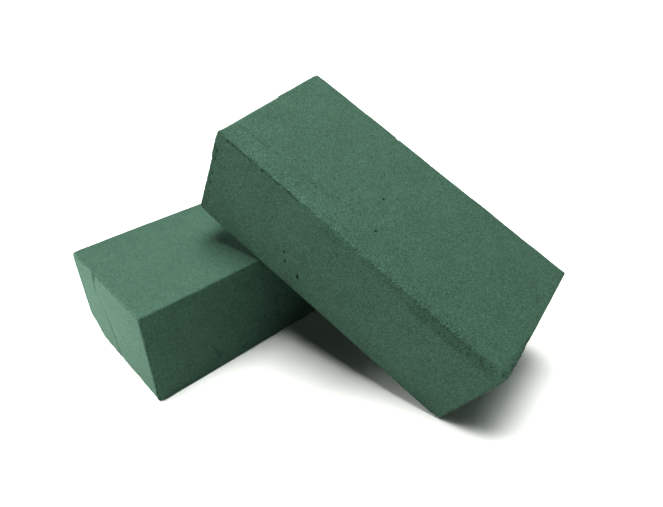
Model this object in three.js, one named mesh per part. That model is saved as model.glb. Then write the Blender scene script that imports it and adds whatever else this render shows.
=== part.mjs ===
// A stack of two floral foam bricks: one lies flat, and the other leans on its long top edge.
// Units are millimetres and +Z is up. The origin is the centre of the flat brick's underside,
// with +X along that brick's length and the leaning brick on its -Y side.
import * as THREE from "three";
import { RoundedBoxGeometry } from "three/addons/geometries/RoundedBoxGeometry.js";

// One brick, as it is sawn from the foam slab.
const brickLength = 230;
const brickWidth = 110;
const brickHeight = 78;
const edgeRadius = 2; // the sawn foam's edges crumble to about this radius
const edgeSegments = 3; // facets that each edge's quarter round is drawn with

// How the loose brick leans on the flat one.
const leanAngle = THREE.MathUtils.degToRad(28.9); // slope of its underside
const leanTurn = THREE.MathUtils.degToRad(12.7); // its turn within that slope, from straight uphill
const footX = 20.5; // where its lowest corner stands on the floor, along the flat brick
const restGap = 0.3; // clearance between the two bricks where one rests on the other

const foamColour = 0x537663; // dry, dusty green foam

function foamMaterial() {
  return new THREE.MeshStandardMaterial({ color: foamColour, roughness: 0.95, metalness: 0 });
}

// A sawn block of foam about its own centre, with softened edges and corners.
function foamBrick(name) {
  const block = new RoundedBoxGeometry(brickLength, brickWidth, brickHeight, edgeSegments, edgeRadius);
  const brick = new THREE.Mesh(block, foamMaterial());
  brick.name = name;
  return brick;
}

function baseBrick() {
  const brick = foamBrick("base_brick");
  brick.position.z = brickHeight / 2;
  return brick;
}

// The leaning brick touches three things: its underside lies along the base brick's long top edge,
// and one lower corner stands on the floor.
function leaningBrick() {
  const brick = foamBrick("leaning_brick");
  brick.rotation.set(leanAngle, 0, Math.PI / 2 + leanTurn);

  // The underside's plane, n . p = level, clears the base brick's rounded top edge by restGap.
  const normal = new THREE.Vector3(0, -Math.sin(leanAngle), Math.cos(leanAngle));
  const edgeCentre = new THREE.Vector3(0, edgeRadius - brickWidth / 2, brickHeight - edgeRadius);
  const level = normal.dot(edgeCentre) + edgeRadius + restGap;

  // The corner's round is a ball of edgeRadius that rests on the floor and touches that plane.
  const footY = (edgeRadius * Math.cos(leanAngle) - edgeRadius - level) / Math.sin(leanAngle);
  const foot = new THREE.Vector3(footX, footY, edgeRadius);
  const footInBrick = new THREE.Vector3(
    edgeRadius - brickLength / 2,
    brickWidth / 2 - edgeRadius,
    edgeRadius - brickHeight / 2,
  );
  brick.position.copy(foot).sub(footInBrick.applyEuler(brick.rotation));
  return brick;
}

const stack = new THREE.Group();
stack.add(baseBrick(), leaningBrick());

export default stack;
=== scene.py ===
"""Two floral foam bricks, one lying flat and one leaning on it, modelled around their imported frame.

Each brick is a block of dry phenolic foam, cut from a slab and softened by handling: its faces are
slightly wavy, its edges crumble, and here and there a bubble or a crack opens the surface.
"""

import math
import random

import bmesh
import bpy
from bpy.props import FloatProperty, FloatVectorProperty, IntProperty, PointerProperty
from mathutils import Matrix, Vector, geometry, kdtree, noise


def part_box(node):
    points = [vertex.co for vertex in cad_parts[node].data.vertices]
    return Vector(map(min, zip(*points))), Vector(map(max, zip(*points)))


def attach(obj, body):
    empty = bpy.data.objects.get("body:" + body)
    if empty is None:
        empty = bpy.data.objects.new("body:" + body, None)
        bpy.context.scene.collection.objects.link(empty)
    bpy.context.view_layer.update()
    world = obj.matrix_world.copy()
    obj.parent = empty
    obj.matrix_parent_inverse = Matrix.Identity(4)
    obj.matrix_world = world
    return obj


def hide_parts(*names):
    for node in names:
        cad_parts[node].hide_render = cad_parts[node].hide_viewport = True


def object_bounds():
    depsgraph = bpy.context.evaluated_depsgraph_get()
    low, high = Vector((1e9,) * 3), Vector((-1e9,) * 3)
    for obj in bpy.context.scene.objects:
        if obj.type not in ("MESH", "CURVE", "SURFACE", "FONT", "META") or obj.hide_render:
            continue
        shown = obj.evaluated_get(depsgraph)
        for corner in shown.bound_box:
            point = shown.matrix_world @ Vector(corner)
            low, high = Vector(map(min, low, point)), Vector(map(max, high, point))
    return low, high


bl_info = {
    "name": "Floral foam bricks",
    "version": (1, 0, 0),
    "blender": (4, 5, 0),
    "location": "3D View > Sidebar > Foam bricks",
    "description": "Models a flat and a leaning brick of floral foam around their CAD frame",
    "category": "Object",
}

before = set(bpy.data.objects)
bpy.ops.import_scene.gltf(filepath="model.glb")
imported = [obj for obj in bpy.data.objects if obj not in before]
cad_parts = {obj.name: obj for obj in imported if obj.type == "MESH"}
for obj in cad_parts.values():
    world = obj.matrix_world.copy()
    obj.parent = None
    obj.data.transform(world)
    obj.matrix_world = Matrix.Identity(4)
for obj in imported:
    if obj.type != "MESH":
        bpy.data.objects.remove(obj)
CAD_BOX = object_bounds()
MM = 0.001


def srgb(hex_colour):
    """A hex colour as linear red, green and blue."""
    shares = [int(hex_colour[i : i + 2], 16) / 255 for i in (1, 3, 5)]
    return tuple(c / 12.92 if c <= 0.04045 else ((c + 0.055) / 1.055) ** 2.4 for c in shares)


# ---- Settings that a user would change ----


class FoamSettings(bpy.types.PropertyGroup):
    """How the foam looks and how worn its blocks are."""

    cell: FloatVectorProperty(
        name="Cells", description="Colour of the darkest cut cells", subtype="COLOR", min=0, max=1,
        default=srgb("#394f43"),
    )
    dust: FloatVectorProperty(
        name="Dust", description="Colour of the lightest cells, full of foam dust",
        subtype="COLOR", min=0, max=1, default=srgb("#5f796c"),
    )
    # Painted shade: this colour is mixed into bubbles, cracks and torn foam for the shade inside
    # them.
    pore_shade: FloatVectorProperty(
        name="Pores", description="Colour deep inside bubbles and cracks", subtype="COLOR",
        min=0, max=1, default=srgb("#12241a"),
    )
    crumbs: FloatVectorProperty(
        name="Crumbs", description="Colour of the loose crumbs along a rubbed edge",
        subtype="COLOR", min=0, max=1, default=srgb("#7fa491"),
    )
    edge_radius: FloatProperty(
        name="Edge radius", description="How far handling has rounded the cut edges",
        unit="LENGTH", default=1.5 * MM, min=0.5 * MM, max=6 * MM,
    )
    face_wave: FloatProperty(
        name="Face wave", description="How far the blade wandered as it cut the faces",
        unit="LENGTH", default=0.2 * MM, min=0, max=2 * MM,
    )
    crumble: FloatProperty(
        name="Edge crumble", description="How deep the grains broken off the edges were",
        unit="LENGTH", default=0.45 * MM, min=0, max=2 * MM,
    )
    grain: FloatProperty(
        name="Grain size", description="Distance between the cells that show in the surface",
        unit="LENGTH", default=0.38 * MM, min=0.2 * MM, max=3 * MM,
    )


class MeshSettings(bpy.types.PropertyGroup):
    """How fine the bricks' meshes are."""

    fine: FloatProperty(
        name="Edge spacing", description="Distance between mesh lines at a brick's edges",
        unit="LENGTH", default=0.45 * MM, min=0.2 * MM, max=5 * MM,
    )
    coarse: FloatProperty(
        name="Face spacing", description="Distance between mesh lines in the middle of a face",
        unit="LENGTH", default=1.32 * MM, min=0.3 * MM, max=10 * MM,
    )
    band: FloatProperty(
        name="Edge band", description="How far in from an edge the mesh lines spread apart",
        unit="LENGTH", default=9 * MM, min=1 * MM, max=30 * MM,
    )
    cuts: IntProperty(
        name="Detail cuts", description="Cuts made in each mesh edge near a pit or a crack",
        default=2, min=0, max=5,
    )


class StageSettings(bpy.types.PropertyGroup):
    """The floor, the lights and the camera."""

    floor: FloatVectorProperty(
        name="Floor", description="Colour of the floor", subtype="COLOR", min=0, max=1,
        default=srgb("#f1f1ef"),
    )
    fill: FloatProperty(
        name="Fill", description="Strength of the even light from all round", default=0.005, min=0,
    )
    lens: FloatProperty(
        name="Lens", description="Focal length of the camera, in millimetres", unit="CAMERA",
        default=27.8, min=10, max=200,
    )
    distance: FloatProperty(
        name="Distance", description="How far the camera is from the point it looks at",
        unit="LENGTH", default=357 * MM, min=50 * MM, max=5,
    )
    azimuth: FloatProperty(
        name="Azimuth", description="The camera's heading, from +Y towards +X", subtype="ANGLE",
        default=math.radians(40.76),
    )
    elevation: FloatProperty(
        name="Elevation", description="How steeply the camera looks down", subtype="ANGLE",
        default=math.radians(34.22),
    )
    roll: FloatProperty(
        name="Roll", description="The camera's tilt to one side", subtype="ANGLE",
        default=math.radians(-1.52),
    )


# ---- Steps that every piece shares ----


def add_object(name, data):
    """Puts a new object in the scene, at the origin."""
    thing = bpy.data.objects.new(name, data)
    bpy.context.scene.collection.objects.link(thing)
    return thing


def finish_mesh(name, bm, material):
    """Makes a finished bmesh an object with smooth shading and one material."""
    mesh = bpy.data.meshes.new(name)
    bm.to_mesh(mesh)
    bm.free()
    mesh.shade_smooth()
    mesh.materials.append(material)
    return add_object(name, mesh)


# ---- The worn foam block ----


def smooth(t):
    """Rises evenly from 0 at t = 0 to 1 at t = 1, and stays there."""
    t = min(max(t, 0.0), 1.0)
    return t * t * (3 - 2 * t)


class Block:
    """Where a CAD brick is: its size along its own axes, and the matrix that takes it there.

    Its own axes are its length, X, its width, Y, and its height, Z, and start at its centre.
    """

    def __init__(self, node):
        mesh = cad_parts[node].data
        faces = sorted(mesh.polygons, key=lambda face: face.area, reverse=True)
        up = next(face.normal.copy() for face in faces if face.normal.z > 0.5)
        side = next(face.normal.copy() for face in faces if abs(face.normal.dot(up)) < 0.5)
        along = side.cross(up).normalized()
        if along.x + along.y < 0:
            along.negate()
        turn = Matrix((along, up.cross(along), up)).transposed()
        local = [turn.transposed() @ vertex.co for vertex in mesh.vertices]
        low = Vector([min(point[i] for point in local) for i in range(3)])
        high = Vector([max(point[i] for point in local) for i in range(3)])
        self.half = (high - low) / 2
        self.place = Matrix.Translation(turn @ ((low + high) / 2)) @ turn.to_4x4()


class Flaw:
    """A worn place on a block, along a line of points on its surface, in its own axes.

    It spreads to width on each side of that line, and is depth deep. Dark is how strongly painted
    shade darkens its broken cells or, where crumbs lie on it, how thickly they lie.
    """

    def __init__(self, *points, width, depth=0, dark=1.0):
        self.points = [Vector(point) * MM for point in points]
        self.width = width * MM
        self.depth = depth * MM
        self.dark = dark

    def distance(self, point):
        """How far a point is from the flaw's line."""
        if len(self.points) == 1:
            return (point - self.points[0]).length
        best = math.inf
        for start, end in zip(self.points, self.points[1:]):
            nearest, share = geometry.intersect_point_line(point, start, end)
            nearest = start.lerp(end, min(max(share, 0), 1))
            best = min(best, (point - nearest).length)
        return best

    def nearby(self, tree, reach):
        """The numbers of the points in a kd-tree that are within reach of the flaw's line."""
        found = set()
        for start, end in zip(self.points, self.points[1:] or self.points):
            steps = max(1, math.ceil((end - start).length / reach))
            for step in range(steps + 1):
                around = tree.find_range(start.lerp(end, step / steps), reach * 1.2)
                found.update(index for _, index, _ in around)
        return found


def mesh_lines(half, settings):
    """Places of the mesh lines across a side that is 2 * half long: close together at its ends."""
    places = [0.0]
    while places[-1] < half:
        spread = smooth(places[-1] / settings.band)
        places.append(places[-1] + settings.fine + (settings.coarse - settings.fine) * spread)
    scale = half / places[-1]
    low = [place * scale - half for place in places]
    return low + [-place for place in reversed(low[:-1])]


def sawn_block(half, settings):
    """A sharp block as a bmesh, gridded on every face with mesh_lines."""
    lines = [mesh_lines(side, settings) for side in half]
    bm = bmesh.new()
    bmesh.ops.create_cube(bm, size=2)
    for axis in range(3):
        along = [
            edge for edge in bm.edges
            if abs(edge.verts[0].co[axis] - edge.verts[1].co[axis]) > 1
        ]
        bmesh.ops.subdivide_edges(bm, edges=along, cuts=len(lines[axis]) - 2, use_grid_fill=True)
    for vertex in bm.verts:
        for axis in range(3):
            last = len(lines[axis]) - 1
            vertex.co[axis] = lines[axis][round((vertex.co[axis] + 1) / 2 * last)]
    return bm


def numbered(bm):
    """The bmesh's points by number, and a kd-tree that finds them."""
    bm.verts.ensure_lookup_table()
    tree = kdtree.KDTree(len(bm.verts))
    for vertex in bm.verts:
        tree.insert(vertex.co, vertex.index)
    tree.balance()
    return bm.verts, tree


REFINE_MARGIN = 1.5 * MM


def refine(bm, flaws, cuts):
    """Cuts the mesh finer around the flaws, and a little beyond them."""
    bm.verts.index_update()
    points, tree = numbered(bm)
    near = set()
    for flaw in flaws:
        near.update(points[i] for i in flaw.nearby(tree, flaw.width + REFINE_MARGIN))
    edges = [edge for edge in bm.edges if edge.verts[0] in near and edge.verts[1] in near]
    bmesh.ops.subdivide_edges(bm, edges=edges, cuts=cuts, use_grid_fill=True)
    bmesh.ops.triangulate(bm, faces=[face for face in bm.faces if len(face.verts) > 4])
    bm.verts.index_update()


# How far it is from one change to the next, in each thing that varies over a block.
ROUNDING_SPAN = 16 * MM
FACE_SPAN = 42 * MM
BLADE_SPANS = (95 * MM, 8 * MM, 8 * MM)  # the blade's ripples are drawn out along the block
RIPPLE_SPAN = 3 * MM
CRUMBLE_SPAN = 13 * MM
GRAIN_SPANS = (1.5 * MM, 0.8 * MM)
CRUMB_SPAN = 5 * MM
RAGGED_SPAN = 0.9 * MM

RIPPLE = 0.006 * MM  # how deep the smallest ripples are
CRUMBLE_REACH = 2.4 * MM  # how far in from an edge grains break off


def wear(bm, block, foam, look):
    """Rounds and crumbles the block's edges, waves its faces and opens its flaws.

    It also sets how much painted shade darkens broken cells, bubbles and cracks, and where crumbs
    lie.
    """
    shift = Vector((look["seed"], 3.1 * look["seed"], 5.3 * look["seed"]))
    torn_shade = bm.verts.layers.float.new("torn_shade")
    hollow_shade = bm.verts.layers.float.new("hollow_shade")
    chalked = bm.verts.layers.float.new("chalked")
    points, tree = numbered(bm)
    sharp = [vertex.co.copy() for vertex in points]
    outward = [None] * len(sharp)

    for vertex, place in zip(points, sharp):
        to_edge = sorted(side - abs(c) for side, c in zip(block.half, place))[1]
        radius = foam.edge_radius * (1 + 0.3 * noise.noise(place / ROUNDING_SPAN + shift))
        for knock in look["knocks"]:
            share = smooth(1.5 - knock.distance(place) / (2 * knock.width))
            radius += (knock.width - radius) * share
        core = Vector([
            min(max(c, radius - side), side - radius) for side, c in zip(block.half, place)
        ])
        normal = (place - core).normalized()
        outward[vertex.index] = normal

        lengthwise = Vector([c / span for c, span in zip(place, BLADE_SPANS)])
        wave = 1 - 0.6 * noise.noise(place / FACE_SPAN + shift)
        wave -= 0.35 * noise.noise(lengthwise + shift)
        sunk = foam.face_wave * wave + RIPPLE * noise.noise(place / RIPPLE_SPAN + shift)

        rough = smooth(1 - to_edge / CRUMBLE_REACH) * smooth(
            0.45 + 1.3 * noise.noise(place / CRUMBLE_SPAN - shift)
        )
        depth = foam.crumble * rough
        # Painted shade: crumbled edges and tears get darker colour for the shade in their broken
        # cells.
        broken_shade = 0.4 * rough
        for tear in look["tears"]:
            share = smooth(1.6 - 1.6 * tear.distance(place) / tear.width)
            broken_shade = max(broken_shade, tear.dark * share)
            depth = max(depth, tear.depth * share)
        if depth > 0:
            large, small = (noise.noise(place / span) for span in GRAIN_SPANS)
            grains = 0.35 + large + 0.5 * small
            sunk += depth * max(grains, 0)
        for dent in look["dents"]:
            sunk += dent.depth * smooth(1 - dent.distance(place) / dent.width)
        patchy = smooth(0.6 + noise.noise(place / CRUMB_SPAN + shift))
        for rub in look["rubs"]:
            share = patchy * smooth(1.5 - 1.5 * rub.distance(place) / rub.width)
            vertex[chalked] = max(vertex[chalked], rub.dark * share)
        vertex[torn_shade] = broken_shade
        vertex.co = core + normal * (radius - sunk)

    # Painted shade: each flaw's dark share darkens its colour for the shade inside bubbles and
    # cracks.
    for flaw in look["flaws"]:
        for index in flaw.nearby(tree, 1.6 * flaw.width):
            ragged = 0.22 * noise.noise(sharp[index] / RAGGED_SPAN + shift)
            share = smooth(1.3 - 1.3 * flaw.distance(sharp[index]) / flaw.width + ragged)
            points[index].co -= outward[index] * flaw.depth * share
            points[index][hollow_shade] = max(points[index][hollow_shade], flaw.dark * share)


def foam_piece(name, node, body, foam, mesh_settings, look):
    """Models one brick in its own axes, puts it where its CAD node is and hides that node."""
    block = Block(node)
    look = {**look, "flaws": look["flaws"] + bubbles(block, look)}
    bm = sawn_block(block.half, mesh_settings)
    refine(bm, look["flaws"], mesh_settings.cuts)
    wear(bm, block, foam, look)
    bmesh.ops.transform(bm, matrix=block.place, verts=bm.verts)
    piece = finish_mesh(
        name, bm, foam_material(name, block, foam, look["seed"], look["contrast"])
    )
    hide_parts(node)
    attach(piece, body)
    return piece


# ---- Materials ----

FACTOR, COLOUR_A, COLOUR_B, COLOUR_OUT = 0, 6, 7, 2  # the sockets of a Mix node that mixes colours


def add_node(tree, kind, inputs=(), **settings):
    """Adds a node with its settings. Each input is given a value, or the socket that feeds it."""
    node = tree.nodes.new(kind)
    for name, value in settings.items():
        setattr(node, name, value)
    for name, value in dict(inputs).items():
        if isinstance(value, bpy.types.NodeSocket):
            tree.links.new(value, node.inputs[name])
        else:
            node.inputs[name].default_value = value
    return node


SWIRL_SHARE = 0.12  # how much the swirls change the tone, beside the cells
TONE_SPREAD = 0.42  # how far from the middle tone the darkest and lightest colours are reached
SHEEN = srgb("#edfff3")  # the tint of the bloom that dust gives the foam


def foam_material(name, block, foam, seed, contrast):
    """Dry phenolic foam, sawn: its open cells scatter light, so it is matt, with a dusty bloom.

    The cells show as a fine even speckle of darker hollows and dusty walls. Torn foam, bubbles and
    cracks are darkened with painted shade, towards the pore shade colour, for the shade in their
    deeper broken cells, and pale crumbs cling along the rubbed edges.
    """
    material = bpy.data.materials.new(name + "_sawn_phenolic")
    material.use_nodes = True
    tree = material.node_tree
    tree.nodes.clear()
    output = add_node(tree, "ShaderNodeOutputMaterial")
    away = block.place.inverted()
    where = add_node(tree, "ShaderNodeTexCoord")
    own_axes = add_node(tree, "ShaderNodeMapping", {
        "Vector": where.outputs["Object"],
        "Location": away.translation + Vector((seed, 0, 0)),
        "Rotation": away.to_euler(),
    }).outputs["Vector"]
    # The foam rose along the block's height, so its cells are longer that way.
    local = add_node(tree, "ShaderNodeVectorMath", {
        0: own_axes, 1: (1, 1, 0.7),
    }, operation="MULTIPLY").outputs["Vector"]

    # The real cells are about 0.2 mm across, too fine to show, so they are drawn at the grain size.
    cells = add_node(tree, "ShaderNodeTexVoronoi", {
        "Vector": local, "Scale": 1 / foam.grain,
    }).outputs["Color"]
    # Where the foam flowed as it rose, it set a little lighter or darker, in swirls 25 mm wide.
    swirls = add_node(tree, "ShaderNodeTexNoise", {
        "Vector": own_axes, "Scale": 1 / (25 * MM), "Detail": 0.0, "Distortion": 1.2,
    }).outputs["Fac"]
    tone = add_node(tree, "ShaderNodeMath", {
        0: swirls, 1: SWIRL_SHARE, 2: cells,
    }, operation="MULTIPLY_ADD").outputs[0]
    middle, spread = 0.5 + SWIRL_SHARE / 2, TONE_SPREAD / contrast
    lightness = add_node(tree, "ShaderNodeMapRange", {
        "Value": tone, "From Min": middle - spread, "From Max": middle + spread,
    }).outputs["Result"]
    cut = add_node(tree, "ShaderNodeMix", {
        FACTOR: lightness, COLOUR_A: (*foam.cell, 1), COLOUR_B: (*foam.dust, 1),
    }, data_type="RGBA").outputs[COLOUR_OUT]

    # Painted shade: the torn and hollow shares darken the colour towards the pore shade colour, for
    # the shade that falls inside broken cells, bubbles and cracks.
    torn_shade, hollow_shade, chalked = (
        add_node(tree, "ShaderNodeAttribute", attribute_name=layer).outputs["Fac"]
        for layer in ("torn_shade", "hollow_shade", "chalked")
    )
    shaded = add_node(tree, "ShaderNodeMapRange", {
        "Value": lightness, "From Min": 0.6, "From Max": 0.2, "To Min": 0.22, "To Max": 0.6,
    }).outputs["Result"]
    broken_cell_shade = add_node(tree, "ShaderNodeMath", {
        0: torn_shade, 1: shaded,
    }, operation="MULTIPLY").outputs[0]
    dark = add_node(tree, "ShaderNodeMath", {
        0: hollow_shade, 1: 0.9, 2: broken_cell_shade,
    }, operation="MULTIPLY_ADD", use_clamp=True).outputs[0]
    with_painted_shade = add_node(tree, "ShaderNodeMix", {
        FACTOR: dark, COLOUR_A: cut, COLOUR_B: (*foam.pore_shade, 1),
    }, data_type="RGBA").outputs[COLOUR_OUT]
    crumbs = add_node(tree, "ShaderNodeMapRange", {
        "Value": lightness, "From Min": 0.72, "From Max": 1.0,
    }).outputs["Result"]
    lifted = add_node(tree, "ShaderNodeMath", {
        0: chalked, 1: crumbs,
    }, operation="MULTIPLY", use_clamp=True).outputs[0]
    colour = add_node(tree, "ShaderNodeMix", {
        FACTOR: lifted, COLOUR_A: with_painted_shade, COLOUR_B: (*foam.crumbs, 1),
    }, data_type="RGBA").outputs[COLOUR_OUT]
    relief = add_node(tree, "ShaderNodeBump", {
        "Height": cells, "Strength": 0.6, "Distance": 0.4 * MM,
    }).outputs["Normal"]
    shader = add_node(tree, "ShaderNodeBsdfPrincipled", {
        "Base Color": colour, "Roughness": 0.95, "IOR": 1.5, "Specular IOR Level": 0.25,
        "Normal": relief,
        "Sheen Weight": 0.05, "Sheen Roughness": 0.6, "Sheen Tint": (*SHEEN, 1),
    })
    tree.links.new(shader.outputs[0], output.inputs["Surface"])
    return material


def floor_material(colour):
    """Matt paper sweep: rolled paper, pale and even, so it only shows a soft shadow."""
    material = bpy.data.materials.new("matt_paper")
    material.use_nodes = True
    shader = material.node_tree.nodes["Principled BSDF"]
    shader.inputs["Base Color"].default_value = (*colour, 1)
    shader.inputs["Roughness"].default_value = 0.9
    shader.inputs["Specular IOR Level"].default_value = 0.1
    return material


# ---- The two bricks ----

# What sets each brick apart, in millimetres along its own axes. The seed starts its noise and its
# random draws, and the contrast is that of its speckle. Knocks round an edge or a corner to a
# radius of their width, dents sink a wide place, tears roughen a strip and darken it with painted
# shade, rubs whiten one with crumbs, and flaws are the bubbles, chips and cracks, darkened inside
# with painted shade. Pinholes are rows of small bubbles: start, end and number. Hidden faces,
# given by the way they face, have bubbles scattered over them.
BASE_LOOK = {
    "seed": 4.0,
    "contrast": 0.9,
    "knocks": [
        Flaw((-115, 55, 39), width=2.6),
        Flaw((-115, 55, -39), width=6),
        Flaw((-115, -55, -39), width=2.5),
    ],
    "dents": [
        Flaw((-115, 55, -39), width=21, depth=2.8),
        Flaw((-115, 45, -39), (-115, -48, -39), width=9, depth=1),
    ],
    "rubs": [
        Flaw((-114, 50, 39), (-114, -50, 39), width=1.2, dark=0.5),
        Flaw((-115, -55, 36), (-115, -55, -36), width=1, dark=0.3),
    ],
    "tears": [
        Flaw((-115, 50, -39), (-115, -45, -39), width=2.6, depth=0.7, dark=0.7),
        Flaw((-115, 55, -39), width=13, depth=0.8, dark=0.4),
        Flaw((-115, 12, 39), (-115, -50, 39), width=1.2, depth=0.35, dark=0.35),
    ],
    "flaws": [
        Flaw((-17, -55, -14.1), width=1.0, depth=0.9),
        Flaw((-39.1, -55, -33.2), width=1.0, depth=0.8),
        Flaw((-66, -55, -14.3), (-63.4, -55, -21), (-60.8, -55, -29),
             width=0.7, depth=0.25, dark=0.4),
        Flaw((-115, 16, 39), (-115, 19.5, 31), (-115, 20.4, 21), width=0.8, depth=0.6, dark=0.9),
        Flaw((-115, 12.5, 39), (-115, 17, 31), width=0.8, depth=0.7, dark=1),
        Flaw((-115, 20.4, 21), (-115, 14, 10), (-115, 9.6, 1.6), width=0.7, depth=0.2, dark=0.25),
        Flaw((-115, 9.6, 1.6), (-115, 7.7, -9.6), (-115, 4.6, -19.4), (-115, 3.8, -36),
             width=0.8, depth=0.5, dark=0.75),
        Flaw((-115, 34, -38), (-115, 31, -38), width=2.8, depth=2.6, dark=0.2),
        Flaw((-115, 22, -38), (-115, 18, -38), width=2.8, depth=2.4, dark=0.2),
        Flaw((-115, 6, -38), (-115, 3, -38), width=2.2, depth=1.6, dark=0.2),
        Flaw((-115, -21, -38), (-115, -24, -38), width=2.2, depth=1.6, dark=0.2),
        Flaw((-115, -37.5, -17.1), width=0.9, depth=0.6, dark=0.6),
        Flaw((-115, -54, -31), (-115, -55, -28), width=1.6, depth=1, dark=0.3),
    ],
    "pinholes": (
        ((-115, 8, 38), (-115, -50, 38), 6),
    ),
    "hidden": ((1, 0, 0), (0, 1, 0), (0, 0, -1)),
}
LEANING_LOOK = {
    "seed": 9.0,
    "contrast": 1.1,
    "knocks": [
        Flaw((-115, 55, 39), width=3.4),
        Flaw((-50, 55, 39), (-110, 55, 39), width=3),
        Flaw((115, 55, 39), width=2.4),
        Flaw((115, 55, 10), (115, 55, -39), width=3),
        Flaw((-115, 55, -39), width=3),
        Flaw((115, -55, 39), width=2),
    ],
    "dents": [],
    "rubs": [
        Flaw((112, 53.8, 39), (-80, 53.8, 39), width=1.8, dark=0.7),
        Flaw((112, 47, 39), (20, 48, 39), width=9, dark=0.3),
    ],
    "tears": [
        Flaw((115, 55, 38.5), (50, 55, 38.5), width=1.6, depth=0.45, dark=0.5),
        Flaw((50, 55, 39), (-20, 55, 39), width=1.3, depth=0.5, dark=0.1),
        Flaw((-12, 55, 36), (-50, 55, 33.5), width=6, depth=0.4, dark=0.3),
        Flaw((-50, 55, 33.5), (-103, 55, 33.5), width=8, depth=0.5, dark=0.62),
        Flaw((113.5, 55, 26), (112.5, 55, -39), width=4, depth=0.5, dark=0.6),
        Flaw((115, 52, 39), (115, 5, 39), width=2, depth=0.3, dark=0.4),
        Flaw((-112, 55, 39), (-115, 20, 39), width=3, depth=0.6, dark=0.5),
    ],
    "flaws": [
        Flaw((38.2, 55, -10.6), width=1.2, depth=1),
        Flaw((34.9, 55, -18.2), width=1.2, depth=1),
        Flaw((22.2, 55, -21.8), (20.6, 55, -23.6), width=1.1, depth=1.1),
        Flaw((56.5, 55, 9.7), width=0.8, depth=0.6, dark=0.7),
        Flaw((-1.8, 32.5, 39), width=1.0, depth=0.9),
        Flaw((9.5, 5.4, 39), width=1.0, depth=0.8),
        Flaw((3, -3, 39), width=0.9, depth=0.7, dark=0.7),
        Flaw((35, -55, 39), width=2.2, depth=1.1, dark=0.1),
        Flaw((109, 39, 39), (94, 37.5, 39), (62, 36.5, 39), (34, 36, 39),
             width=2, depth=0.3, dark=0.08),
        Flaw((115, -6, 39), (115, 50, 39), width=2.8, depth=0.8, dark=0),
        Flaw((115, 27, 39), (115, 50, 39), width=2.8, depth=0.9, dark=0.05),
        Flaw((-115, 23, 39), (-115, 19, 39), width=2.2, depth=1.3, dark=0.1),
        Flaw((-115, 47, 39), (-115, 43, 39), width=2.2, depth=1.1, dark=0.1),
    ],
    "pinholes": (
        ((110.5, 55, 26), (108.5, 55, -34), 22),
        ((108, 55, 37.5), (45, 55, 37.5), 18),
    ),
    "hidden": ((1, 0, 0), (-1, 0, 0), (0, -1, 0), (0, 0, -1)),
}
BUBBLES_PER_FACE = 7


def bubbles(block, look):
    """The bubbles that are scattered: over the faces named as hidden, and as rows of pinholes."""
    draw = random.Random(look["seed"])
    found = []
    for face in look["hidden"]:
        for _ in range(BUBBLES_PER_FACE):
            place = [
                side / MM * (along or draw.uniform(-0.85, 0.85))
                for side, along in zip(block.half, face)
            ]
            size = draw.uniform(0.6, 1.1)
            found.append(Flaw(place, width=size, depth=0.8 * size, dark=draw.uniform(0.6, 1)))
    for start, end, count in look["pinholes"]:
        for _ in range(count):
            place = Vector(start).lerp(Vector(end), draw.random())
            size = draw.uniform(0.55, 0.85)
            found.append(Flaw(place, width=size, depth=0.8 * size, dark=draw.uniform(0.6, 1)))
    return found


class FOAM_OT_base_brick(bpy.types.Operator):
    """Models the brick that lies flat."""

    bl_idname = "foam.base_brick"
    bl_label = "Base brick"

    def execute(self, context):
        scene = context.scene
        foam_piece("base_foam", "base_brick", "base", scene.foam, scene.foam_mesh, BASE_LOOK)
        return {"FINISHED"}


class FOAM_OT_leaning_brick(bpy.types.Operator):
    """Models the brick that leans on the flat one."""

    bl_idname = "foam.leaning_brick"
    bl_label = "Leaning brick"

    def execute(self, context):
        scene = context.scene
        foam_piece(
            "leaning_foam", "leaning_brick", "leaning", scene.foam, scene.foam_mesh, LEANING_LOOK,
        )
        return {"FINISHED"}


# ---- The stage ----

# Where the lens points, from the middle of the object, and the view's shift, in widths of the view.
AIM_OFFSET = Vector((-11.7, 2.8, -8.2)) * MM
SHIFT = (0.0475, 0.0167)
SENSOR_WIDTH = 36  # millimetres
# The paper is flat out to the first radius, then curves up to a wall: radii and heights, in metres.
SWEEP = ((5, 0), (5.5, 0.06), (5.9, 0.26), (6.2, 0.6), (6.35, 1), (6.4, 1.9))
SOFTBOXES = (
    # name, what it lights, its azimuth and elevation from there, distance, width, power in watts
    ("top_softbox", "whole", 0, 90, 0.6, 0.4, 2.28),
    ("end_softbox", "end", -75, 12, 0.16, 0.1, 0.153),
)
DIFFUSERS = (
    # name, azimuth and elevation of the wide, far, even light, and its strength
    ("ceiling", 0, 90, 1.45),
    ("window", -30, 25, 2.9),
)
DIFFUSER_ANGLE = math.radians(35)  # how wide each diffuser looks from the object


def hang(light, target, azimuth, elevation, distance):
    """Hangs a light where a target sees it at an azimuth and elevation in degrees, facing it."""
    turn, rise = math.radians(azimuth), math.radians(elevation)
    away = Vector((
        math.sin(turn) * math.cos(rise), math.cos(turn) * math.cos(rise), math.sin(rise),
    ))
    lamp = add_object(light.name, light)
    lamp.location = target + away * distance
    lamp.rotation_euler = away.to_track_quat("Z", "Y").to_euler()


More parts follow.
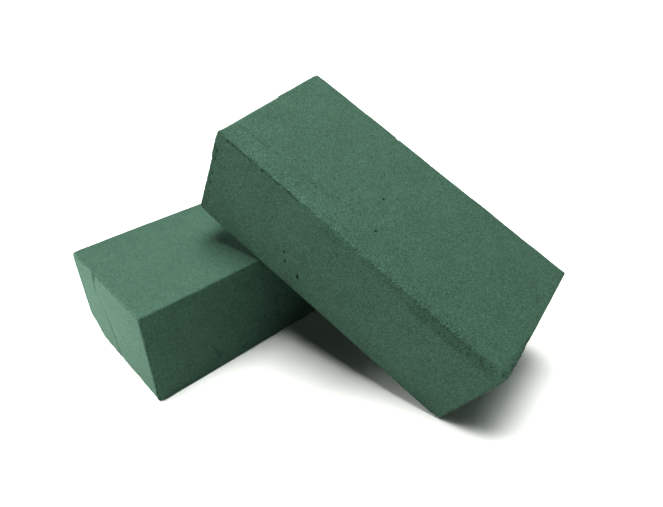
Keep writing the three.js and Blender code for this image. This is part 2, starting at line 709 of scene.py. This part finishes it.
class FOAM_OT_stage(bpy.types.Operator):
    """Makes the floor, the lights and the camera."""

    bl_idname = "foam.stage"
    bl_label = "Stage"

    def execute(self, context):
        scene = context.scene
        stage = scene.foam_stage
        low, high = (Vector(corner) for corner in CAD_BOX)
        middle = (low + high) / 2

        bm = bmesh.new()
        bmesh.ops.create_circle(bm, cap_ends=True, segments=96, radius=SWEEP[0][0])
        rim = list(bm.edges)
        for radius, height in SWEEP[1:]:
            grown = bmesh.ops.extrude_edge_only(bm, edges=rim)["geom"]
            for vertex in grown:
                if isinstance(vertex, bmesh.types.BMVert):
                    vertex.co.xy = vertex.co.xy.normalized() * radius
                    vertex.co.z = height
            rim = [
                edge for edge in grown
                if isinstance(edge, bmesh.types.BMEdge) and edge.is_boundary
            ]
        floor = finish_mesh("floor", bm, floor_material(stage.floor))
        floor.location.z = low.z

        world = bpy.data.worlds.new("studio")
        world.use_nodes = True
        background = world.node_tree.nodes["Background"]
        background.inputs["Strength"].default_value = stage.fill
        background.inputs["Color"].default_value = (1, 1, 1, 1)
        scene.world = world

        end_low, end_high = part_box("base_brick")
        lit = {"whole": middle, "end": Vector((end_low.x, 0, (end_low.z + end_high.z) / 2))}
        for name, target, azimuth, elevation, distance, width, power in SOFTBOXES:
            light = bpy.data.lights.new(name, "AREA")
            light.shape = "SQUARE"
            light.size = width
            light.energy = power
            hang(light, lit[target], azimuth, elevation, distance)
        for name, azimuth, elevation, strength in DIFFUSERS:
            light = bpy.data.lights.new(name, "SUN")
            light.angle = DIFFUSER_ANGLE
            light.energy = strength
            hang(light, middle, azimuth, elevation, 1)

        camera = bpy.data.cameras.new("camera")
        camera.lens = stage.lens
        camera.sensor_width = SENSOR_WIDTH
        camera.shift_x, camera.shift_y = SHIFT
        camera.clip_start = 10 * MM
        ahead = Vector((
            math.sin(stage.azimuth) * math.cos(stage.elevation),
            math.cos(stage.azimuth) * math.cos(stage.elevation),
            -math.sin(stage.elevation),
        ))
        viewer = add_object("camera", camera)
        turn = ahead.to_track_quat("-Z", "Y").to_matrix() @ Matrix.Rotation(stage.roll, 3, "Z")
        viewer.matrix_world = (
            Matrix.Translation(middle + AIM_OFFSET - ahead * stage.distance) @ turn.to_4x4()
        )
        scene.camera = viewer
        scene.view_settings.view_transform = "Standard"
        scene.view_settings.look = "Very High Contrast"
        return {"FINISHED"}


class FOAM_PT_panel(bpy.types.Panel):
    """Lists the settings and the steps in the 3D view's sidebar."""

    bl_idname = "FOAM_PT_panel"
    bl_label = "Foam bricks"
    bl_space_type = "VIEW_3D"
    bl_region_type = "UI"
    bl_category = "Foam bricks"

    def draw(self, context):
        for group in (context.scene.foam, context.scene.foam_mesh, context.scene.foam_stage):
            box = self.layout.box()
            for name in group.__annotations__:
                box.prop(group, name)
        for operator in OPERATORS:
            self.layout.operator(operator.bl_idname)


OPERATORS = (FOAM_OT_base_brick, FOAM_OT_leaning_brick, FOAM_OT_stage)
CLASSES = (FoamSettings, MeshSettings, StageSettings, *OPERATORS, FOAM_PT_panel)


def register():
    for cls in CLASSES:
        bpy.utils.register_class(cls)
    bpy.types.Scene.foam = PointerProperty(type=FoamSettings)
    bpy.types.Scene.foam_mesh = PointerProperty(type=MeshSettings)
    bpy.types.Scene.foam_stage = PointerProperty(type=StageSettings)


def unregister():
    del bpy.types.Scene.foam_stage
    del bpy.types.Scene.foam_mesh
    del bpy.types.Scene.foam
    for cls in reversed(CLASSES):
        bpy.utils.unregister_class(cls)


def main():
    register()
    bpy.ops.foam.base_brick()
    bpy.ops.foam.leaning_brick()
    bpy.ops.foam.stage()


if __name__ == "__main__":
    main()
